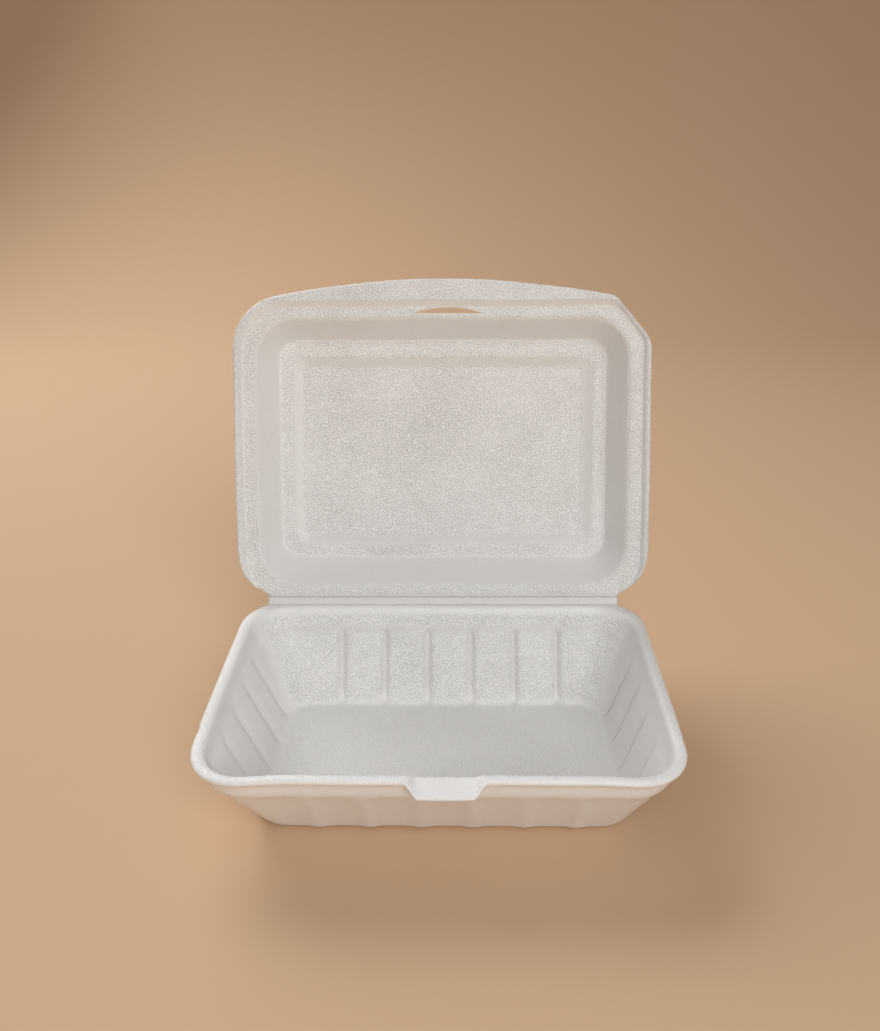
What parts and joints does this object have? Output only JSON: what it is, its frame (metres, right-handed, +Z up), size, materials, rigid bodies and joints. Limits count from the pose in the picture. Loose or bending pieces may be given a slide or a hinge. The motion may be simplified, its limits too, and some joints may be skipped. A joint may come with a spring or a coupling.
{
  "type": "foam clamshell container",
  "caption": "Foam food box, open: ribbed tray with a flat rim and front tongue, and a hinged lid with a raised panel and a bowed lip with a latch slot.",
  "frame": {"origin": "centre of the tray's underside, on the surface it stands on", "axes": "+Z up, +X to the right along the fold, +Y from the front tongue towards the fold"},
  "size_m": [0.1876, 0.1922, 0.1832],
  "materials": {
    "foam": "matt foam with a soft bead grain",
    "fold": "foam pressed smooth"
  },
  "bodies": {
    "tray": {"tray": "foam", "hinge_strip": "fold"},
    "lid": {"lid": "foam"}
  },
  "joints": [
    {"name": "lid_hinge", "type": "hinge", "parent": "tray", "child": "lid", "pos_m": [0, 0.0644, 0.04265], "axis": [-1, 0, 0], "range_deg": [-106.5, 73.5], "deforming": ["hinge_strip"]}
  ]
}
